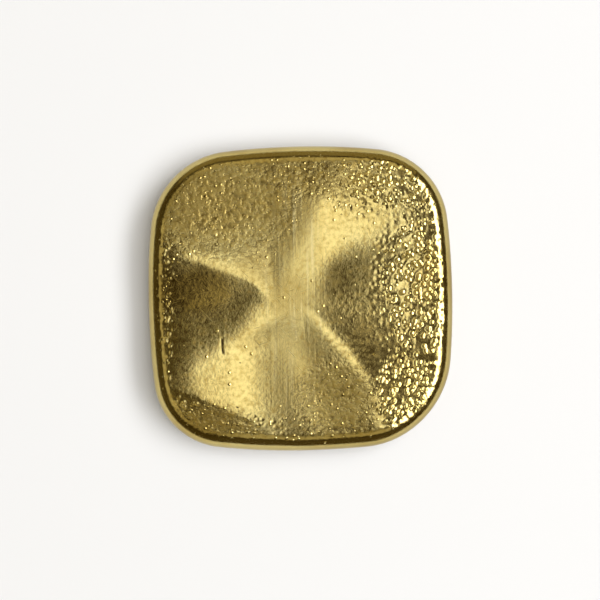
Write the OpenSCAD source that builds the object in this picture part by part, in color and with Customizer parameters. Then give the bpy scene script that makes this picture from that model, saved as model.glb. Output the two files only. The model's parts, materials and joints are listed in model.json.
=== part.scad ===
// Cast gold ingot: one solid poured into an open mould, square with rounded corners.
// It lies on its mould face. The as-poured face is on top, with a rounded shoulder all round.
// Millimetres. The origin is under the middle of the bar, on the plane that it rests on, and +Z is up.

/* [Body] */
// Width of the square bar, across the middle of its bowed sides
body_side = 22; // [19:0.1:30]
// Height from the underside to the level middle of the as-poured face
body_h = 3.8; // [2.8:0.05:9]
// Radius of the shallow outward bow of the four sides
side_bow_r = 52; // [42:1:200]

/* [Corners] */
// Radius of the back right corner
corner_back_right_r = 5.7; // [4:0.1:8]
// Radius of the back left corner
corner_back_left_r = 6.1; // [4:0.1:8]
// Radius of the front left corner
corner_front_left_r = 5.2; // [4:0.1:8]
// Radius of the front right corner
corner_front_right_r = 6.9; // [4:0.1:8]

/* [Mould wall] */
// Lean of the mould wall from upright, which lets the bar drop out
wall_draft = 5; // [1:0.5:12]
// Radius where the wall meets the underside
foot_r = 0.6; // [0.2:0.05:0.9]

/* [As-poured face] */
// Radius of the shoulder that the metal's skin drew round the edge as it set
shoulder_r = 1.25; // [0.6:0.05:1.5]
// Radius of the shallow crown between the shoulder and the level middle
crown_r = 40; // [20:1:300]
// How far the crown reaches in from the edge
crown_reach = 3.3; // [2.2:0.1:3.6]

/* [Hidden] */
$fn = 192;
// Corner radii in turn, anticlockwise from the back right
corner_r = [corner_back_right_r, corner_back_left_r, corner_front_left_r, corner_front_right_r];
// Distance from the middle of the bar to the centre of each side's arc
bow_offset = side_bow_r - body_side / 2;
// The blends are sunk this far into the rounds that they run between
blend = 0.002;
// Radius left open round each corner's axis, and how far the core's points stand past that axis
axis_gap = 0.3;
core_point = 0.5;

// Lean of the surface from level where the shoulder meets the crown
crown_tilt = asin((crown_reach - shoulder_r) / (crown_r - shoulder_r));
// Height of the shoulder's centre: the crown is tangent to the shoulder and level where it ends
shoulder_z = to_micron(body_h - crown_r + (crown_r - shoulder_r) * cos(crown_tilt) + blend);
// How far the foot's centre stands in from the widest outline, on the tangent to the shoulder
foot_in = to_micron(shoulder_r + (shoulder_z - foot_r) * tan(wall_draft)
    - (shoulder_r - foot_r) / cos(wall_draft));

// A length to the nearest thousandth of a millimetre
function to_micron(v) = round(v * 1000) / 1000;

// Angle from a side's middle to where the corner of radius r takes over, seen from the side's
// arc centre, to the nearest hundredth of a degree
function side_turn(r) = round(100 * (acos(bow_offset / sqrt(2) / (side_bow_r - r)) - 45)) / 100;

// Distance from a side's arc centre to the centre of the corner that takes over at that angle
function corner_range(turn) = bow_offset / (cos(turn) - sin(turn));

// Places its children at v in two steps, whole thousandths and then what is left over
module place(v) {
    whole = [for (n = v) to_micron(n)];
    translate(whole) translate(v - whole) children();
}

// The bar's upright section, from its widest point at x = 0 inwards to x = -depth
module section(depth) {
    wall = [cos(wall_draft), -sin(wall_draft)];
    crown = [sin(crown_tilt), cos(crown_tilt)];
    foot_centre = [-foot_in, foot_r];
    shoulder_centre = [-shoulder_r, shoulder_z];
    crown_start = shoulder_centre + (shoulder_r - blend) * crown;
    polygon([
        [-depth, 0],
        [-foot_in, 0],
        foot_centre + (foot_r - blend) * wall,
        shoulder_centre + (shoulder_r - blend) * wall,
        crown_start,
        [-crown_reach, body_h],
        [-depth, body_h]
    ]);
    translate(foot_centre) circle(r = foot_r);
    translate(shoulder_centre) circle(r = shoulder_r);
    intersection() {
        translate([-crown_reach, body_h - crown_r]) circle(r = crown_r);
        polygon([
            [-crown_reach, body_h - 1],
            [crown_start[0], body_h - 1],
            [crown_start[0], body_h + 1],
            [-crown_reach, body_h + 1]
        ]);
    }
}

// The back right corner
module corner(r) {
    turn = side_turn(r);
    range = corner_range(turn);
    x = range * cos(turn) - bow_offset;
    place([x, x, 0])
        rotate_extrude(start = turn, angle = 90 - 2 * turn)
            place([side_bow_r - range, 0]) section(r - axis_gap);
}

// The right side, between corners of radius front_r and back_r
module side(front_r, back_r) {
    translate([-bow_offset, 0, 0])
        rotate_extrude(start = -side_turn(front_r), angle = side_turn(front_r) + side_turn(back_r))
            translate([side_bow_r, 0]) section(max(front_r, back_r));
}

// The solid middle, with a point just past each corner's axis
module core() {
    point = [for (r = corner_r) corner_range(side_turn(r)) * cos(side_turn(r)) - bow_offset + core_point];
    linear_extrude(body_h) polygon([
        [point[0], point[0]],
        [-point[1], point[1]],
        [-point[2], -point[2]],
        [point[3], -point[3]]
    ]);
}

module ingot() {
    color("goldenrod") {
        for (i = [0 : 3]) rotate([0, 0, 90 * i]) {
            corner(corner_r[i]);
            side(corner_r[(i + 3) % 4], corner_r[i]);
        }
        core();
    }
}

ingot();
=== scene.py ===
"""Cast gold ingot: the visible bar with its as-poured face, and the stage that it lies on.

The bar is spun from one upright profile round its four bowed sides and four rounded corners.
Its face is closed with a grid, and the relief that the metal took as it set is pushed into it.
Lengths are in metres, as in the frame, and the face is laid out in millimetres.
"""

import json
import math

import bmesh
import bpy
import numpy as np
from bpy.props import FloatProperty, FloatVectorProperty, IntProperty, PointerProperty, StringProperty
from mathutils import Euler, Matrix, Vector

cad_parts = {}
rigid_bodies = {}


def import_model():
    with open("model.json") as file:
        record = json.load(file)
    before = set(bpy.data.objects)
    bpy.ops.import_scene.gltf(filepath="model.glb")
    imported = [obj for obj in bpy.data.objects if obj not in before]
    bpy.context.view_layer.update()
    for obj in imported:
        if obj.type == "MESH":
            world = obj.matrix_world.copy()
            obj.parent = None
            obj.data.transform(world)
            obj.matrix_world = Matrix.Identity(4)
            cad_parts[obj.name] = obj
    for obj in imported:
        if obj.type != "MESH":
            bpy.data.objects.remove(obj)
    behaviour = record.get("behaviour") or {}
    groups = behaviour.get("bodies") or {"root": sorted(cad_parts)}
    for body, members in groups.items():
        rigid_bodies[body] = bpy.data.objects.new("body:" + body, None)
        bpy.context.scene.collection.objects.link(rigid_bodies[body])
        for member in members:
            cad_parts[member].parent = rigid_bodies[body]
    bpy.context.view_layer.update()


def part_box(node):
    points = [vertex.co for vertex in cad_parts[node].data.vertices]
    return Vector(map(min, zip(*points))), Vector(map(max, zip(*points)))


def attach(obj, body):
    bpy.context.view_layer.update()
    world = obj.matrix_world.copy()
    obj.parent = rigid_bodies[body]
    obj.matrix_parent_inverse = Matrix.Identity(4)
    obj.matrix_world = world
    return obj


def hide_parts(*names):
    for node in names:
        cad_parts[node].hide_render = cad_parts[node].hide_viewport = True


bl_info = {
    "name": "Cast gold ingot",
    "version": (1, 0, 0),
    "blender": (4, 5, 0),
    "location": "3D View > Sidebar > Ingot",
    "description": "Pours a small gold bar with an as-poured face, and sets the stage for it",
    "category": "Object",
}

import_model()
BAR_LOW, BAR_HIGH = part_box("ingot")

MM = 0.001
# Corners of the bar, anticlockwise as seen from above
CORNERS = ("back_right", "back_left", "front_left", "front_right")


# Sizes and colours that a user would change


class IngotBody(bpy.types.PropertyGroup):
    side: FloatProperty(
        name="Side",
        description="Width of the square bar, across the middle of its bowed sides",
        default=BAR_HIGH.x - BAR_LOW.x,
        unit="LENGTH",
    )
    height: FloatProperty(
        name="Height",
        description="From the underside to the highest part of the as-poured face",
        default=BAR_HIGH.z,
        unit="LENGTH",
    )
    bow_radius: FloatProperty(
        name="Side bow",
        description="Radius of the shallow outward bow of the four sides",
        default=0.052,
        unit="LENGTH",
    )
    back_right: FloatProperty(
        name="Back right corner",
        description="Radius of the back right corner",
        default=0.0057,
        unit="LENGTH",
    )
    back_left: FloatProperty(
        name="Back left corner",
        description="Radius of the back left corner",
        default=0.0061,
        unit="LENGTH",
    )
    front_left: FloatProperty(
        name="Front left corner",
        description="Radius of the front left corner",
        default=0.0052,
        unit="LENGTH",
    )
    front_right: FloatProperty(
        name="Front right corner",
        description="Radius of the front right corner",
        default=0.0069,
        unit="LENGTH",
    )
    wall_draft: FloatProperty(
        name="Wall draft",
        description="Lean of the mould wall from upright",
        default=math.radians(5),
        subtype="ANGLE",
    )
    foot_radius: FloatProperty(
        name="Foot",
        description="Radius where the wall meets the underside",
        default=0.0006,
        unit="LENGTH",
    )
    shoulder_radius: FloatProperty(
        name="Shoulder",
        description="Radius of the shoulder that the metal's skin drew round the edge",
        default=0.00125,
        unit="LENGTH",
    )
    crown_radius: FloatProperty(
        name="Crown radius",
        description="Radius of the shallow crown between the shoulder and the level middle",
        default=0.04,
        unit="LENGTH",
    )
    crown_reach: FloatProperty(
        name="Crown reach",
        description="How far the crown reaches in from the edge",
        default=0.0033,
        unit="LENGTH",
    )
    grid: IntProperty(
        name="Grid",
        description="Squares along each side of the as-poured face",
        default=256,
        min=32,
        max=300,
    )


class IngotFace(bpy.types.PropertyGroup):
    pebble_depth: FloatProperty(
        name="Pebble depth",
        description="Depth of the furrows between the pebbles of the skin",
        default=0.00008,
        unit="LENGTH",
    )
    nick_depth: FloatProperty(
        name="Nick depth",
        description="Depth of the short nick in the left of the face",
        default=0.000014,
        unit="LENGTH",
    )


class IngotFinish(bpy.types.PropertyGroup):
    gold: StringProperty(
        name="Gold",
        description="Colour of the clean cast skin, as sRGB hex",
        default="EFDB90",
    )
    # Darker gold, partly for the dull skin and partly painted shade over the parts of the face that
    # lie in shade
    dull_and_shade_gold: StringProperty(
        name="Dull and shaded gold",
        description="Colour of the skin's dull patches, as sRGB hex",
        default="A68A40",
    )
    deep_gold: StringProperty(
        name="Deep gold",
        description="Colour where the skin sank and stayed unpolished, as sRGB hex",
        default="D8B452",
    )
    # Paler gold along the brush lines: painted sheen where the lines catch the light
    brush_sheen_gold: StringProperty(
        name="Brush sheen gold",
        description="Colour of the paler lines that a brush drew over the skin, as sRGB hex",
        default="F8E7A6",
    )
    # Darker and greyer than the face's gold: partly the matt cast wall, partly painted shade for the
    # shadowed floor that the walls mirror
    wall_gold_and_shade: StringProperty(
        name="Wall gold and shade",
        description="Colour of the matt mould wall, as sRGB hex",
        default="BAA868",
    )
    wall_stain: StringProperty(
        name="Wall stain",
        description="Colour of the stained parts of the mould wall, as sRGB hex",
        default="9E8848",
    )
    fleck: StringProperty(
        name="Fleck",
        description="Colour of the dark flecks in the matt skin, as sRGB hex",
        default="6E5420",
    )
    # Nearly black colour laid in the nick
    nick_colour: StringProperty(
        name="Colour in the nick",
        description="Colour of the dirt that the nick holds, as sRGB hex",
        default="2A1D08",
    )


class IngotStage(bpy.types.PropertyGroup):
    floor: StringProperty(
        name="Floor",
        description="Colour of the paper floor, as sRGB hex",
        default="F0F1F4",
    )
    wall: StringProperty(
        name="Wall",
        description="Colour of the wall past the floor's edge, as sRGB hex",
        default="E4E3E0",
    )
    room: StringProperty(
        name="Room",
        description="Colour of the dark warm room that the gold mirrors, as sRGB hex",
        default="3C3114",
    )
    floor_size: FloatProperty(
        name="Floor size",
        description="Width of the square paper floor",
        default=1.2,
        unit="LENGTH",
    )
    lens: FloatProperty(
        name="Lens",
        description="Focal length of the camera in millimetres",
        default=85.0,
    )
    view_width: FloatProperty(
        name="View width",
        description="Width of the camera's view at the bar's widest line",
        default=0.0433,
        unit="LENGTH",
    )
    aim: FloatVectorProperty(
        name="Aim",
        description="Point that the camera looks straight down at, level with the bar's widest line",
        default=(-0.00004, -0.00011, 0.0026),
        subtype="TRANSLATION",
        unit="LENGTH",
        precision=5,
    )
    roll: FloatProperty(
        name="Roll",
        description="Turn of the camera about its line of sight",
        default=math.radians(-1.0),
        subtype="ANGLE",
    )


# Helpers


def deselect_all():
    for other in bpy.context.view_layer.objects:
        other.select_set(False)
    bpy.context.view_layer.objects.active = None


def select_alone(piece):
    """Makes one piece the active one, with nothing else selected."""
    deselect_all()
    piece.select_set(True)
    bpy.context.view_layer.objects.active = piece


def points_of(piece):
    """The piece's vertices as an array, one row each."""
    points = np.empty(len(piece.data.vertices) * 3)
    piece.data.vertices.foreach_get("co", points)
    return points.reshape(-1, 3)


# Outline of the bar, which the spins and the crown both follow


class Outline:
    """The eight arcs of the bar's widest line: four bowed sides and four corners, in metres."""

    def __init__(self, body):
        self.bow = body.bow_radius
        # Each side's arc has its centre across the bar's middle, and this far from it
        self.offset = body.bow_radius - body.side / 2
        self.radius = [getattr(body, name) for name in CORNERS]
        # Angle of a side's arc between the middle of the side and each corner
        self.turn = [
            math.acos(self.offset / math.sqrt(2) / (self.bow - radius)) - math.pi / 4
            for radius in self.radius
        ]
        # Each corner's axis lies on the diagonal, its own radius inside both side arcs
        self.axis = []
        for quarter, turn in enumerate(self.turn):
            reach = self.offset / (math.cos(turn) - math.sin(turn))
            x = reach * math.cos(turn) - self.offset
            self.axis.append(Vector((x, x, 0)) @ quarter_turn(quarter))

    def side_axis(self, quarter):
        """Centre of one side's arc, from the right side anticlockwise."""
        return Vector((-self.offset, 0, 0)) @ quarter_turn(quarter)

    def inset(self, x, y):
        """How far each point lies in from the widest line, in metres."""
        inset = np.full(x.shape, np.inf)
        for quarter in range(4):
            middle = self.side_axis(quarter)
            inset = np.minimum(inset, self.bow - np.hypot(x - middle.x, y - middle.y))
        for quarter, (turn, radius, axis) in enumerate(zip(self.turn, self.radius, self.axis)):
            way = np.arctan2(y - axis.y, x - axis.x) - quarter * math.pi / 2
            way = np.mod(way, 2 * math.pi)
            in_corner = (way > turn) & (way < math.pi / 2 - turn)
            inset = np.where(in_corner, radius - np.hypot(x - axis.x, y - axis.y), inset)
        return inset


def quarter_turn(quarters):
    """Turns a row vector anticlockwise by quarter turns."""
    return Euler((0, 0, -quarters * math.pi / 2)).to_matrix()


class INGOT_OT_pour_bar(bpy.types.Operator):
    """Pours the gold bar: spins its edge, closes its face and underside, and sets its relief"""

    bl_idname = "ingot.pour_bar"
    bl_label = "Pour the gold bar"

    def execute(self, context):
        body = context.scene.ingot_body
        outline = Outline(body)
        piece = spin_edge(body, outline)
        close_faces(piece, body)
        raise_relief(piece, body, outline, context.scene.ingot_face)
        piece.data.materials.append(cast_gold(context.scene.ingot_finish))
        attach(piece, "root")
        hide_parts("ingot")
        return {"FINISHED"}


# Edge loops up the profile
FOOT_STEPS, WALL_ROWS, SHOULDER_STEPS = 5, 4, 14
# Vertices closer than this are one, and vertices nearer in height than this are level, in metres
WELD, LEVEL = 1e-6, 1e-7


def spin_edge(body, outline):
    """Draws the upright profile at the middle of the right side and spins it right round the bar."""
    foot, shoulder, draft = body.foot_radius, body.shoulder_radius, body.wall_draft
    # Tilt of the skin where the shoulder runs into the crown
    tilt = math.asin((body.crown_reach - shoulder) / (body.crown_radius - shoulder))
    shoulder_z = body.height - body.crown_radius + (body.crown_radius - shoulder) * math.cos(tilt)
    foot_in = shoulder + (shoulder_z - foot) * math.tan(draft) - (shoulder - foot) / math.cos(draft)
    foot_axis = Vector((body.side / 2 - foot_in, 0, foot))
    shoulder_axis = Vector((body.side / 2 - shoulder, 0, shoulder_z))
    wall_way = Vector((math.cos(draft), 0, -math.sin(draft)))

    # The profile starts as one vertex where the foot leaves the underside
    deselect_all()
    bpy.ops.mesh.primitive_plane_add(size=foot, location=foot_axis - Vector((0, 0, foot)))
    piece = bpy.context.active_object
    piece.name = "gold_ingot"
    bpy.ops.object.transform_apply(location=True, rotation=False, scale=False)
    select_alone(piece)
    bpy.ops.object.mode_set(mode="EDIT")
    bpy.ops.mesh.select_all(action="SELECT")
    bpy.ops.mesh.merge(type="CENTER")
    bpy.ops.mesh.spin(
        steps=FOOT_STEPS, angle=math.pi / 2 - draft, center=foot_axis, axis=(0, 1, 0)
    )
    rise = (shoulder_axis + wall_way * shoulder) - (foot_axis + wall_way * foot)
    for _ in range(WALL_ROWS):
        bpy.ops.mesh.extrude_region_move(TRANSFORM_OT_translate={"value": rise / WALL_ROWS})
    bpy.ops.mesh.spin(
        steps=SHOULDER_STEPS,
        angle=math.pi / 2 + draft - tilt,
        center=shoulder_axis,
        axis=(0, 1, 0),
    )
    bpy.ops.mesh.select_all(action="SELECT")

    for quarter in range(4):
        turn, steps = outline.turn[quarter], corner_steps(body, outline, quarter)
        spin_round(turn, body.grid // 2 - steps, outline.side_axis(quarter))
        spin_round(math.pi / 2 - 2 * turn, 2 * steps, outline.axis[quarter])
        spin_round(turn, body.grid // 2 - steps, outline.side_axis(quarter + 1))
    bpy.ops.mesh.select_all(action="SELECT")
    bpy.ops.mesh.remove_doubles(threshold=WELD)
    bpy.ops.object.mode_set(mode="OBJECT")
    return piece


def spin_round(angle, steps, axis):
    """Carries the selected profile on round an upright axis, anticlockwise."""
    bpy.ops.mesh.spin(steps=steps, angle=-angle, center=axis, axis=(0, 0, 1))


def corner_steps(body, outline, quarter):
    """Steps in half of a corner, so that steps are as long there as along the sides."""
    turn, radius = outline.turn[quarter], outline.radius[quarter]
    corner = radius * (math.pi / 4 - turn)
    return round(body.grid / 2 * corner / (corner + outline.bow * turn))


def close_faces(piece, body):
    """Fills the as-poured face with a grid and the underside with one flat face."""
    select_alone(piece)
    bpy.ops.object.mode_set(mode="EDIT")
    mesh = bmesh.from_edit_mesh(piece.data)
    top = max(v.co.z for v in mesh.verts)
    select_loop(piece, mesh, 0)
    bpy.ops.mesh.edge_face_add()
    select_loop(piece, mesh, top)
    diagonal = max((v for v in mesh.verts if v.select), key=lambda v: v.co.x + v.co.y)
    mesh.select_history.clear()
    mesh.select_history.add(diagonal)
    bpy.ops.mesh.fill_grid(span=body.grid)
    bpy.ops.mesh.select_all(action="SELECT")
    bpy.ops.mesh.normals_make_consistent(inside=False)
    if any(edge.is_boundary for edge in bmesh.from_edit_mesh(piece.data).edges):
        raise RuntimeError("The bar's face or its underside stayed open")
    bpy.ops.object.mode_set(mode="OBJECT")


def select_loop(piece, mesh, height):
    """Selects the open edges at one height."""
    bpy.ops.mesh.select_all(action="DESELECT")
    for edge in mesh.edges:
        if edge.is_boundary and all(abs(v.co.z - height) < LEVEL for v in edge.verts):
            edge.select_set(True)
    bmesh.update_edit_mesh(piece.data)


# As-poured face, laid out in millimetres from the bar's centre: x to the right, y to the back

# Lines that leave the bar end this far out
OUT = 13
# Four low ridges run out from one point near the middle, and the skin sank between them
MIDDLE = (-0.3, -0.85)
RIDGES = {
    "left_back": ((-1.5, -0.65), (-2.3, 0.1), (-3.6, 1.35), (-6.3, 2.35), (-8.3, 3.0), (-OUT, 3.4)),
    "left_front": ((-1.5, -1.0), (-3.2, -1.9), (-5.2, -3.5), (-7.4, -4.9), (-OUT, -7.6)),
    "right_front": ((0.5, -0.9), (2.0, -2.4), (3.8, -4.5), (5.2, -6.9), (6.0, -9.5), (6.4, -OUT)),
    "right_back": ((0.2, 0.6), (1.3, 3.0), (3.2, 4.4), (6.0, 5.1), (OUT, 5.9)),
}
# The front left corner broke away downwards along this line as it set
FRONT_FOLD = ((-OUT, -4.6), (-7.4, -6.9), (-4.4, -8.2), (-2.8, -9.1), (-0.5, -10.6), (2, -OUT))
# A short nick in the left of the face, and half its width
NICK = ((-5.66, -2.8), (-5.69, -3.35), (-5.6, -3.85))
NICK_REACH = 0.055
# Where the skin is pebbled: x, y, reach in x, reach in y, amount
PEBBLED = (
    (8.6, 0.5, 3.4, 6.0, 1.0),
    (6.7, 8.3, 4.4, 2.3, 0.85),
    (7.4, -6.8, 2.8, 3.0, 0.9),
    (4.4, 7.0, 2.4, 1.6, 0.25),
    (0.4, 8.8, 2.2, 1.5, 0.4),
    (-5.0, -9.2, 4.2, 1.2, 0.3),
    (-8.4, -8.0, 1.4, 1.6, 0.4),
    (2.6, -9.4, 2.6, 1.0, 0.25),
    (-9.7, 0.5, 0.7, 7.5, 0.35),
    (-7.4, 8.4, 2.6, 1.6, 0.15),
)
# Width of one pebble, and of the lumps that make some pebbles higher than others
PEBBLE, LUMP = 0.34, 0.7
# Where single beads stood up on the skin, in the same five numbers
BEADED = (
    (-2.6, 3.2, 1.0, 1.0, 1.0),
    (-9.95, 0.0, 0.7, 8.5, 1.0),
    (-8.2, 3.0, 1.6, 0.9, 0.8),
    (-6.2, -8.6, 3.4, 1.6, 0.9),
    (-0.5, -9.4, 6.0, 1.2, 0.7),
    (-6.6, 7.6, 3.6, 2.4, 0.5),
    (0.0, 8.4, 3.4, 2.0, 0.8),
    (3.0, -7.6, 2.6, 2.6, 0.5),
    (6.4, 7.6, 4.6, 2.8, 1.0),
    (4.4, 6.9, 2.8, 2.0, 1.0),
    (8.2, 0.0, 3.0, 8.0, 0.8),
    (6.8, -7.0, 2.8, 2.8, 0.8),
)
# How beaded the rest of the face is
STRAY_BEADS = 0.08
# Where small specks stand close together, in the same five numbers
SPECKED = (
    (-2.6, 3.3, 1.0, 1.2, 1.0),
    (-9.6, 2.0, 0.8, 3.0, 0.5),
    (1.8, -9.2, 3.2, 1.2, 0.5),
    (-0.2, 8.7, 3.6, 1.5, 0.8),
)
# How specked the matt skin is, as a share of how matt it is
MATT_SPECKS = 0.4
# Where the skin stayed dull and scratched, and where its colour is darkened as painted shade over the
# parts of the face that lie in shade, in the same five numbers
DULL_AND_SHADE = (
    (-6.2, 7.0, 4.6, 2.8, 0.45),
    (0.2, 8.8, 4.2, 1.6, 0.2),
    (-1.4, 7.0, 1.7, 3.4, 0.3),
    (-0.8, 0.2, 1.7, 1.9, 0.5),
    (-0.6, -6.0, 1.7, 4.4, 0.3),
    (-7.2, 0.6, 3.2, 2.2, 1.0),
    (4.2, -0.5, 3.4, 4.2, 0.15),
    (-6.5, -8.8, 3.0, 1.5, 0.45),
    (2.6, -7.2, 2.6, 2.8, 0.2),
    (-1.4, -4.8, 2.2, 3.6, 0.3),
    (-3.0, 2.2, 2.0, 1.6, 0.45),
    (-3.4, -2.6, 1.8, 1.4, 0.4),
)
# Where the skin froze matt and finely grained, in the same five numbers
MATT = (
    (-5.4, 6.6, 5.2, 3.6, 1.0),
    (3.6, 8.2, 3.0, 1.4, 0.3),
    (2.4, -7.2, 3.0, 2.8, 0.8),
    (-6.8, -8.8, 3.4, 1.5, 0.4),
    (4.0, -2.0, 3.0, 3.4, 0.15),
    (0.0, 8.6, 4.6, 1.8, 0.4),
)


def raise_relief(piece, body, outline, face):
    """Pushes the crown, the sunk facets, the pebbled skin and the nick into the as-poured face."""
    x, y, z = points_of(piece).T
    inset = outline.inset(x, y) / MM
    x, y, depth = x / MM, y / MM, (body.height - z) / MM
    # The face takes in the upper part of the shoulder, which the mould never touched
    on_face = fade_in(-depth, start=-1.2, over=0.4)

    press(piece, "crown", crown_rise(body, inset, z > z.max() - LEVEL), 1)

    # The rim goes down with the facets, so that its shoulder keeps its shape all round
    rim = fade_in(z / MM, start=1.0, over=1.8)
    facets_group = press(piece, "facets", facets(x, y) * rim, -1)
    # The skin's own pull rounded the bends between the facets
    soften = piece.modifiers.new("soften", "SMOOTH")
    soften.use_x = soften.use_y = False
    soften.factor, soften.iterations, soften.vertex_group = 0.5, 6, facets_group
    bpy.ops.object.modifier_apply(modifier=soften.name)

    pebbles = dabs(x, y, PEBBLED) * fade_in(inset, start=0.35, over=0.7) * on_face
    pebbles *= face.pebble_depth / MM
    cells = bpy.data.textures.new("pebbles", "VORONOI")
    cells.noise_scale = PEBBLE * MM
    cells.use_color_ramp = True
    cells.color_ramp.interpolation = "EASE"
    # Each pebble is flat at its middle and falls to a furrow round it
    for mark, position, value in zip(cells.color_ramp.elements, (0.05, 0.56), (0, 1)):
        mark.position, mark.color = position, (value, value, value, 1)
    lumps = bpy.data.textures.new("lumps", "CLOUDS")
    lumps.noise_scale = LUMP * MM
    press(piece, "pebbles", pebbles, -1, cells, middle=0.7)
    press(piece, "lumps", pebbles * 0.7, -1, lumps, middle=0.5)

    press(piece, "nick", nicked(x, y) * face.nick_depth / MM, -1)
    mark_skin(piece, x, y, inset, on_face)
    select_alone(piece)
    bpy.ops.object.shade_smooth()


def crown_rise(body, inset, level):
    """Rise of the shallow crown over the level face's rim, in millimetres."""
    radius, reach = body.crown_radius / MM, body.crown_reach / MM
    height = np.sqrt(radius**2 - np.clip(reach - inset, 0, reach) ** 2)
    return np.where(level, height - height[level].min(), 0)


def mark_skin(piece, x, y, inset, on_face):
    """Keeps how dull and darkened as painted shade, matt, beaded, specked and brushed the skin is,
    for the material.
    """
    inward = fade_in(inset, start=0.75, over=0.4)
    matt = dabs(x, y, MATT) * inward
    beaded = STRAY_BEADS + (1 - STRAY_BEADS) * dabs(x, y, BEADED)
    # A band up the middle of the face was brushed
    brushed = ease(1.5 - np.abs(x + 0.5) / 2.0) * ease(1.4 - np.abs(y - 0.5) / 8.5)
    marks = {
        "face": fade_in(inset, start=0.1, over=0.5) * on_face,
        # How dull the skin is, which also places the darker colour that is painted shade
        "dull_and_shade": dabs(x, y, DULL_AND_SHADE) * on_face,
        "matt": matt,
        "specked": np.maximum(MATT_SPECKS * matt, dabs(x, y, SPECKED) * inward),
        "beaded": beaded * fade_in(inset, start=0.6, over=0.25),
        "brushed": brushed * on_face,
        "nick": nicked(x, y),
    }
    for name, values in marks.items():
        attribute = piece.data.attributes.new(name, "FLOAT", "POINT")
        attribute.data.foreach_set("value", values.astype(np.float32))


def facets(x, y):
    """Depth of the sunk facets below the ridges, in millimetres."""
    lines = {name: smooth_line((MIDDLE, *points)) for name, points in RIDGES.items()}
    away = {name: distance_to(x, y, line) for name, line in lines.items()}
    from_middle = np.hypot(x - MIDDLE[0], y - MIDDLE[1])
    left = inside(x, y, [*lines["left_back"], *lines["left_front"][::-1]])
    right = inside(x, y, [*lines["right_back"], (OUT, -OUT), *lines["right_front"][::-1]])
    far_back = [(OUT, OUT), (-OUT, OUT)]
    back = inside(x, y, [*lines["left_back"][::-1], *lines["right_back"], *far_back])
    front = ~(left | right | back)

    # The left facet is sharp under its back ridge, and its front ridge grows softer outwards
    depth = left * ease(from_middle / 5.0) * least_of(
        fall(rounded(away["left_back"], 0.1), degrees=6.0, length=9),
        straight(away["left_front"], degrees=6.8, radius=0.4 + 0.2 * from_middle),
        0.05 + fall(np.maximum(0, -0.9 - x), degrees=4.5, length=5),
    )
    depth += right * least_of(
        straight(away["right_back"], degrees=6.5, radius=1.7),
        straight(away["right_front"], degrees=7.2, radius=0.5),
        fall(np.maximum(0, x - 0.3), degrees=4.6, length=5),
    )
    # The right facet's back half has a trough past its middle, and rises again to the rim
    off_ridges = ease(np.minimum(away["right_back"], away["right_front"]) / 3.0)
    trough = off_ridges * ease((x - 1.5) / 5.0) * ease((10.0 - x) / 3.5) * ease((y + 2.5) / 4.0)
    depth += right * 0.06 * trough
    # The back facet falls to the left of a hinge that runs from the middle to the back rim
    hinge = 0.55 * (y - 1.5) - 0.6
    depth += back * least_of(
        fall(rounded(np.maximum(0, hinge - x), 1.5), degrees=5.2, length=6),
        straight(away["left_back"], degrees=4.8, radius=0.7),
    )
    # The front facet falls to the right, and stays level at the left
    depth += front * least_of(
        straight(np.maximum(0, x + 5.2), degrees=5.0, radius=2.2),
        straight(away["left_front"], degrees=6.0, radius=0.35),
        straight(away["right_front"], degrees=6.5, radius=0.5),
    )
    fold = smooth_line(FRONT_FOLD)
    broken = inside(x, y, [*fold, (-OUT, -OUT)])
    return depth + broken * straight(distance_to(x, y, fold), degrees=4.8, radius=0.15)


def nicked(x, y):
    """How deep in the nick each point lies, from 0 to 1."""
    return np.exp(-((distance_to(x, y, NICK) / NICK_REACH) ** 2))


def dabs(x, y, table):
    """The strongest of some soft oval dabs at each point."""
    most = np.zeros_like(x)
    for px, py, rx, ry, amount in table:
        # A dab is full up to nearly half its reach, and gone a quarter past it
        soft = ease(1.6 - 1.3 * np.hypot((x - px) / rx, (y - py) / ry))
        most = np.maximum(most, amount * soft)
    return most


def rounded(distance, radius):
    """A distance whose start is rounded off, so that a ridge is not a knife edge."""
    return np.sqrt(distance**2 + radius**2) - radius


def straight(distance, degrees, radius):
    """Depth of a slope that stays the same after its rounded start."""
    return math.tan(math.radians(degrees)) * rounded(distance, radius)


def fall(distance, degrees, length):
    """Depth of a slope that dies away over a length."""
    return math.tan(math.radians(degrees)) * length * (1 - np.exp(-distance / length))


def least_of(*walls):
    """The least of the walls' depths, with the bends between them rounded."""
    return sum((wall + 1e-6) ** -4.0 for wall in walls) ** -0.25


def ease(t):
    """Smooth step from 0 to 1."""
    t = np.clip(t, 0, 1)
    return t * t * (3 - 2 * t)


def fade_in(value, start, over):
    """Smooth step from 0 at the start to 1 when the value is so much over it."""
    return ease((value - start) / over)


def smooth_line(points, steps=8):
    """A line with no corners through the points."""
    points = [np.array(p, float) for p in points]
    points = [2 * points[0] - points[1], *points, 2 * points[-1] - points[-2]]
    line = []
    for a, b, c, d in zip(points, points[1:], points[2:], points[3:]):
        for t in np.linspace(0, 1, steps, endpoint=False):
            bend = (2 * a - 5 * b + 4 * c - d) * t**2 + (3 * b - a - 3 * c + d) * t**3
            line.append(tuple(b + 0.5 * ((c - a) * t + bend)))
    return [*line, tuple(points[-2])]


def distance_to(x, y, line):
    """Distance from each point to a line of short pieces."""
    nearest = np.full(x.shape, np.inf)
    for (ax, ay), (bx, by) in zip(line, line[1:]):
        run, rise = bx - ax, by - ay
        along = np.clip(((x - ax) * run + (y - ay) * rise) / (run**2 + rise**2), 0, 1)
        nearest = np.minimum(nearest, np.hypot(x - ax - along * run, y - ay - along * rise))
    return nearest


def inside(x, y, corners):
    """Whether each point lies inside a closed shape."""
    odd = np.zeros(x.shape, bool)
    for (ax, ay), (bx, by) in zip(corners, [*corners[1:], corners[0]]):
        if ay != by:
            odd ^= ((ay > y) != (by > y)) & (x < ax + (y - ay) / (by - ay) * (bx - ax))
    return odd


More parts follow.
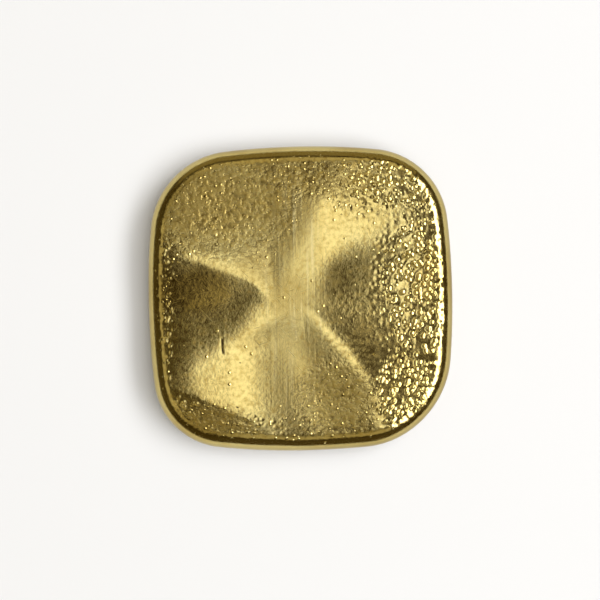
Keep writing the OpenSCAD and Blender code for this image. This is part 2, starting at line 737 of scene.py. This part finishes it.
def press(piece, name, amount, way, texture=None, middle=0.0):
    """Moves the face up (1) or down (-1) by an amount in millimetres at each vertex.

    Where a texture has its middle value, the face stays as it is. Gives the vertex group's name.
    """
    most = float(amount.max())
    # A vertex group can't share its name with an attribute
    group = piece.vertex_groups.new(name=name + "_depth")
    for index in np.flatnonzero(amount > most * 1e-4):
        group.add([int(index)], float(amount[index]) / most, "REPLACE")
    select_alone(piece)
    modifier = piece.modifiers.new(name, "DISPLACE")
    modifier.direction, modifier.mid_level, modifier.strength = "Z", middle, way * most * MM
    modifier.vertex_group = group.name
    if texture:
        modifier.texture, modifier.texture_coords = texture, "LOCAL"
    bpy.ops.object.modifier_apply(modifier=modifier.name)
    return group.name


# Materials


def srgb(hex_colour):
    """An sRGB hex colour as linear values with alpha."""
    values = [int(hex_colour[i : i + 2], 16) / 255 for i in (0, 2, 4)]
    linear = [v / 12.92 if v <= 0.04045 else ((v + 0.055) / 1.055) ** 2.4 for v in values]
    return (*linear, 1.0)


def add_node(tree, kind, inputs=None, **settings):
    """Adds a node with its settings, and gives each input a value or a link from an output."""
    node = tree.nodes.new("ShaderNode" + kind)
    for key, value in settings.items():
        setattr(node, key, value)
    for key, value in (inputs or {}).items():
        if isinstance(value, bpy.types.NodeSocket):
            tree.links.new(value, node.inputs[key])
        else:
            node.inputs[key].default_value = value
    return node


# Patterns in the skin: width of a lump in millimetres, detail, and how it repeats along x, y and z.
# Real brush lines and frozen grain are 0.02 to 0.05 mm wide, which is too fine to show, so the
# speckle, both grains, the streaks and the drag lines are drawn at 0.12 to 0.2 mm.
PATTERNS = {
    "patches": (2.6, 3.0, (1, 1, 1)),
    "speckle": (0.16, 2.0, (1, 1, 1)),
    "flecks": (0.24, 2.0, (1, 1, 1)),
    "grain": (0.12, 3.0, (1, 1, 1)),
    "matt_grain": (0.16, 3.0, (1, 1, 1)),
    "streaks": (0.16, 4.0, (1, 0.035, 1)),
    "dents": (1.4, 2.0, (1, 1, 1)),
    "drag_lines": (0.2, 3.0, (1, 1, 0.12)),
}
# Beads and specks: width of the cell that one stands in, in millimetres, and where they stand
BEADS = {"beads": (0.40, "beaded"), "specks": (0.26, "specked")}
# The share of cells that hold a bead where beads are thickest, and its radius as a part of the cell
BEAD_SHARE, BEAD_RADIUS = 0.72, 0.28
# Directions of the fine scratches in the dull skin, in radians, and the space that one takes up in
# millimetres. Real ones are as fine as the brush lines, and are drawn 0.1 mm wide so that they show.
SCRATCH_TURNS = (0.3, 1.2, 2.3)
SCRATCH = (1.6, 0.10, 1.6)
# First input, second input and result of a Mix node, which have the same names for each kind
MIX_SOCKETS = {"FLOAT": (2, 3, 0), "RGBA": (6, 7, 2)}


def cast_gold(finish):
    """Cast fine gold: a skin that froze in air, brushed over once, and walls that froze on a mould.

    The skin is a soft mirror, broken by beads and scratches, and matt where it froze slowly; its
    colour carries painted shade in darker patches and painted sheen along the brush lines.
    The walls are matt and stained, with the mould's shallow dents and upright drag lines, and their
    colour is darkened and greyed as painted shade for the shadowed floor that they mirror.
    """
    material = bpy.data.materials.new("cast_gold")
    material.use_nodes = True
    tree = material.node_tree
    shader = tree.nodes["Principled BSDF"]
    shader.inputs["Metallic"].default_value = 1.0

    skin = {
        name: add_node(tree, "Attribute", attribute_name=name).outputs["Fac"]
        for name in ("face", "dull_and_shade", "matt", "beaded", "specked", "brushed", "nick")
    }
    off_face = add_node(tree, "MapRange", {"Value": skin["face"], "To Min": 1.0, "To Max": 0.0})
    skin["wall"] = off_face.outputs["Result"]
    place = add_node(tree, "TexCoord").outputs["Object"]
    skin |= patterns_in(tree, place)
    skin |= beads_on(tree, place, skin)
    tree.links.new(gold_colour(tree, skin, finish), shader.inputs["Base Color"])
    tree.links.new(gold_roughness(tree, skin, place), shader.inputs["Roughness"])
    tree.links.new(gold_bump(tree, skin), shader.inputs["Normal"])
    return material


def patterns_in(tree, place):
    """The patterns by name."""
    patterns = {}
    for name, (size, detail, repeats) in PATTERNS.items():
        scale = tuple(1 / (size * MM) * repeat for repeat in repeats)
        mapped = add_node(tree, "Mapping", {"Vector": place, "Scale": scale}).outputs["Vector"]
        inputs = {"Vector": mapped, "Scale": 0.5, "Detail": detail}
        patterns[name] = add_node(tree, "TexNoise", inputs).outputs["Fac"]
    return patterns


def beads_on(tree, place, skin):
    """Round beads in some of the cells, and in more of them where the skin is marked for them."""
    beads = {}
    for name, (size, mark) in BEADS.items():
        scale = (1 / (size * MM),) * 3
        mapped = add_node(tree, "Mapping", {"Vector": place, "Scale": scale}).outputs["Vector"]
        cell = add_node(tree, "TexVoronoi", {"Vector": mapped, "Scale": 1.0})
        draw = add_node(tree, "SeparateColor", {"Color": cell.outputs["Color"]}).outputs["Red"]
        share = add_node(tree, "MapRange", {"Value": skin[mark], "To Max": BEAD_SHARE})
        chosen = add_node(
            tree, "Math", {0: draw, 1: share.outputs["Result"]}, operation="LESS_THAN"
        )
        dome = add_node(
            tree,
            "MapRange",
            {"Value": cell.outputs["Distance"], "From Min": BEAD_RADIUS, "From Max": 0.0},
        )
        inputs = {0: dome.outputs["Result"], 1: chosen.outputs["Value"]}
        beads[name] = add_node(tree, "Math", inputs, operation="MULTIPLY").outputs["Value"]
    return beads


def lay_over(tree, kind, base, layers):
    """Lays colours (RGBA) or numbers (FLOAT) over a base, one after another.

    Each layer has a mark, the values of it where the layer starts and is full, the most of it, and
    what is laid there.
    """
    first, second, result = MIX_SOCKETS[kind]
    for mark, start, full, most, over in layers:
        inputs = {"Value": mark, "From Min": start, "From Max": full, "To Max": most}
        share = add_node(tree, "MapRange", inputs).outputs["Result"]
        inputs = {0: share, first: base, second: over}
        base = add_node(tree, "Mix", inputs, data_type=kind).outputs[result]
    return base


def gold_colour(tree, skin, finish):
    """Clean gold on the face with darker gold over it, for dull skin and as painted shade, paler gold
    along the brush lines as painted sheen, and the stained gold of the walls, darkened and greyed as
    painted shade.
    """
    deep = srgb(finish.deep_gold)
    fleck = add_node(tree, "MapRange", {"Value": skin["flecks"], "From Min": 0.54, "From Max": 0.66})
    among = add_node(tree, "MapRange", {"Value": skin["specked"], "From Max": 0.5})
    inputs = {0: fleck.outputs["Result"], 1: among.outputs["Result"]}
    flecks = add_node(tree, "Math", inputs, operation="MULTIPLY").outputs["Value"]
    # Paler colour along the brush streaks in the brushed band: painted sheen
    sheen_streak = add_node(
        tree,
        "MapRange",
        {"Value": skin["streaks"], "From Min": 0.52, "From Max": 0.70, "To Max": 0.8},
    )
    inputs = {0: sheen_streak.outputs["Result"], 1: skin["brushed"]}
    streaks = add_node(tree, "Math", inputs, operation="MULTIPLY").outputs["Value"]
    face_layers = (
        (skin["patches"], 0.40, 0.75, 0.4, deep),
        (skin["speckle"], 0.5, 0.75, 0.5, deep),
        # Darker gold over the dull patches: partly dull skin, partly painted shade where the face
        # lies in shade
        (skin["dull_and_shade"], 0.0, 1.0, 0.9, srgb(finish.dull_and_shade_gold)),
        (flecks, 0.0, 1.0, 0.6, srgb(finish.fleck)),
    )
    face = lay_over(tree, "RGBA", srgb(finish.gold), face_layers)
    bar_layers = (
        (skin["patches"], 0.42, 0.68, 1.0, srgb(finish.wall_stain)),
        (skin["face"], 0.0, 1.0, 1.0, face),
        # The nick is coloured nearly black
        (skin["nick"], 0.3, 0.8, 1.0, srgb(finish.nick_colour)),
        # Paler gold along the brush streaks, as painted sheen
        (streaks, 0.0, 1.0, 1.0, srgb(finish.brush_sheen_gold)),
    )
    # The walls and the underside start from this darker, greyer gold, which is partly painted shade
    # for the shadowed floor that they mirror
    return lay_over(tree, "RGBA", srgb(finish.wall_gold_and_shade), bar_layers)


def gold_roughness(tree, skin, place):
    """Polish of the free skin, which beads keep and brushing, scratches and the mould take away."""
    polish = add_node(
        tree,
        "MapRange",
        {"Value": skin["speckle"], "From Min": 0.3, "From Max": 0.7, "To Min": 0.12, "To Max": 0.22},
    )
    matt = add_node(
        tree,
        "MapRange",
        {"Value": skin["speckle"], "From Min": 0.4, "From Max": 0.6, "To Min": 0.24, "To Max": 0.42},
    )
    layers = (
        (skin["brushed"], 0.0, 1.0, 0.8, 0.26),
        (skin["matt"], 0.0, 1.0, 1.0, matt.outputs["Result"]),
        (skin["specks"], 0.0, 1.0, 1.0, 0.12),
        (skin["beads"], 0.0, 0.3, 1.0, 0.13),
        *[(scratches(tree, place, skin, turn), 0.0, 1.0, 1.0, 0.6) for turn in SCRATCH_TURNS],
        (skin["wall"], 0.0, 1.0, 0.9, 0.36),
    )
    return lay_over(tree, "FLOAT", polish.outputs["Result"], layers)


def scratches(tree, place, skin, turn):
    """Fine scratches in one direction in the dull skin."""
    mapped = add_node(
        tree,
        "Mapping",
        {"Vector": place, "Rotation": (0, 0, turn), "Scale": tuple(size * MM for size in SCRATCH)},
        vector_type="TEXTURE",
    ).outputs["Vector"]
    field = add_node(tree, "TexNoise", {"Vector": mapped, "Scale": 1.0, "Detail": 1.0})
    line = add_node(
        tree,
        "MapRange",
        {"Value": field.outputs["Fac"], "From Min": 0.69, "From Max": 0.77, "To Max": 0.8},
    )
    inputs = {0: line.outputs["Result"], 1: skin["dull_and_shade"]}
    return add_node(tree, "Math", inputs, operation="MULTIPLY").outputs["Value"]


def gold_bump(tree, skin):
    """Relief that is finer than the mesh, one layer over another."""
    # Each layer's pattern, its depth in millimetres, and where it is
    layers = (
        (skin["grain"], 0.006, 1.0),
        (skin["matt_grain"], 0.11, skin["matt"]),
        (skin["specks"], 0.035, skin["face"]),
        (skin["beads"], 0.045, skin["face"]),
        (skin["dents"], 0.05, skin["wall"]),
        (skin["drag_lines"], 0.010, skin["wall"]),
        (skin["streaks"], 0.009, skin["brushed"]),
    )
    under = {}
    for height, depth, where in layers:
        inputs = {"Height": height, "Distance": depth * MM, "Strength": where, **under}
        under = {"Normal": add_node(tree, "Bump", inputs).outputs["Normal"]}
    return under["Normal"]


# Stage

WHITE, AMBER, DEEP_AMBER = (1, 1, 1), (1, 0.9, 0.6), (1, 0.85, 0.45)
# Softboxes that show in the gold: compass bearing, degrees from straight up, distance, size up and
# down the sky and across it, radiance, colour
LIGHTS = {
    "overhead": (180, 0.8, 0.5, (0.18, 0.10), 0.93, WHITE),
    "overhead_edge": (0, 1, 0.5, (0.35, 0.10), 0.42, WHITE),
    "key": (88, 36.5, 0.5, (0.165, 0.5), 4.8, WHITE),
    "back_fill": (0, 32, 0.5, (0.16, 0.5), 0.45, AMBER),
    "back_low": (0, 70, 0.6, (0.36, 1.0), 0.16, DEEP_AMBER),
    "front_low": (180, 70, 0.6, (0.36, 1.0), 0.02, DEEP_AMBER),
    "left_low": (270, 70, 0.6, (0.36, 1.0), 0.02, DEEP_AMBER),
    "front_fill": (180, 32, 0.5, (0.16, 0.5), 0.35, AMBER),
    "left_fill": (270, 32, 0.5, (0.16, 0.5), 0.4, AMBER),
}
# A softbox that lights the paper only
PAPER_LIGHT = (100, 18, 0.8, (0.7, 0.7), 3.2, WHITE)


class INGOT_OT_set_stage(bpy.types.Operator):
    """Sets the paper floor, the lights and the camera straight above the bar"""

    bl_idname = "ingot.set_stage"
    bl_label = "Set the stage"

    def execute(self, context):
        stage = context.scene.ingot_stage
        deselect_all()
        bpy.ops.mesh.primitive_plane_add(size=stage.floor_size, location=(0, 0, 0))
        floor = context.active_object
        floor.name = "floor"
        floor.data.materials.append(matt_paper(stage))
        for name, light in LIGHTS.items():
            add_light(name, *light)
        add_light("paper_light", *PAPER_LIGHT).visible_glossy = False
        add_room(context, stage)
        add_camera(context, stage)
        context.scene.view_settings.view_transform = "Standard"
        return {"FINISHED"}


def matt_paper(stage):
    """Uncoated background paper: plain, pale and matt, with no sheen."""
    material = bpy.data.materials.new("matt_paper")
    material.use_nodes = True
    shader = material.node_tree.nodes["Principled BSDF"]
    shader.inputs["Base Color"].default_value = srgb(stage.floor)
    shader.inputs["Roughness"].default_value = 0.9
    return material


def add_light(name, compass, zenith, distance, size, radiance, colour):
    """A softbox that faces the bar, at a compass bearing and an angle from straight up."""
    data = bpy.data.lights.new(name, "AREA")
    data.shape = "RECTANGLE"
    data.size_y, data.size = size
    data.energy = radiance * math.pi * size[0] * size[1]
    data.color = colour
    light = bpy.data.objects.new(name, data)
    bpy.context.scene.collection.objects.link(light)
    bearing, angle = math.radians(compass), math.radians(zenith)
    east, north = math.sin(angle) * math.sin(bearing), math.sin(angle) * math.cos(bearing)
    light.location = Vector((east, north, math.cos(angle))) * distance
    light.rotation_euler = Euler((-angle, 0, -bearing), "XYZ")
    return light


def add_room(context, stage):
    """The dark warm room that the gold mirrors, and the pale wall seen past the floor's edge."""
    world = bpy.data.worlds.new("studio")
    world.use_nodes = True
    tree = world.node_tree
    seen = add_node(tree, "LightPath").outputs["Is Camera Ray"]
    colour = lay_over(
        tree, "RGBA", srgb(stage.room), [(seen, 0.0, 1.0, 1.0, srgb(stage.wall))]
    )
    tree.links.new(colour, tree.nodes["Background"].inputs["Color"])
    context.scene.world = world


def add_camera(context, stage):
    """A long lens straight above the bar."""
    data = bpy.data.cameras.new("camera")
    data.lens = stage.lens
    data.sensor_width = 36
    data.clip_start, data.clip_end = 0.001, 10
    camera = bpy.data.objects.new("camera", data)
    context.scene.collection.objects.link(camera)
    distance = stage.view_width * stage.lens / data.sensor_width
    camera.location = Vector(stage.aim) + Vector((0, 0, distance))
    camera.rotation_euler = (0, 0, stage.roll)
    context.scene.camera = camera


class INGOT_PT_panel(bpy.types.Panel):
    """Lists what makes the bar and its stage"""

    bl_idname = "INGOT_PT_panel"
    bl_label = "Gold ingot"
    bl_space_type = "VIEW_3D"
    bl_region_type = "UI"
    bl_category = "Ingot"

    def draw(self, context):
        layout = self.layout
        layout.operator("ingot.pour_bar")
        layout.operator("ingot.set_stage")


CLASSES = (
    IngotBody,
    IngotFace,
    IngotFinish,
    IngotStage,
    INGOT_OT_pour_bar,
    INGOT_OT_set_stage,
    INGOT_PT_panel,
)


def register():
    for cls in CLASSES:
        bpy.utils.register_class(cls)
    bpy.types.Scene.ingot_body = PointerProperty(type=IngotBody)
    bpy.types.Scene.ingot_face = PointerProperty(type=IngotFace)
    bpy.types.Scene.ingot_finish = PointerProperty(type=IngotFinish)
    bpy.types.Scene.ingot_stage = PointerProperty(type=IngotStage)


def unregister():
    for name in ("ingot_body", "ingot_face", "ingot_finish", "ingot_stage"):
        delattr(bpy.types.Scene, name)
    for cls in reversed(CLASSES):
        bpy.utils.unregister_class(cls)


def main():
    register()
    bpy.ops.ingot.pour_bar()
    bpy.ops.ingot.set_stage()


if __name__ == "__main__":
    main()
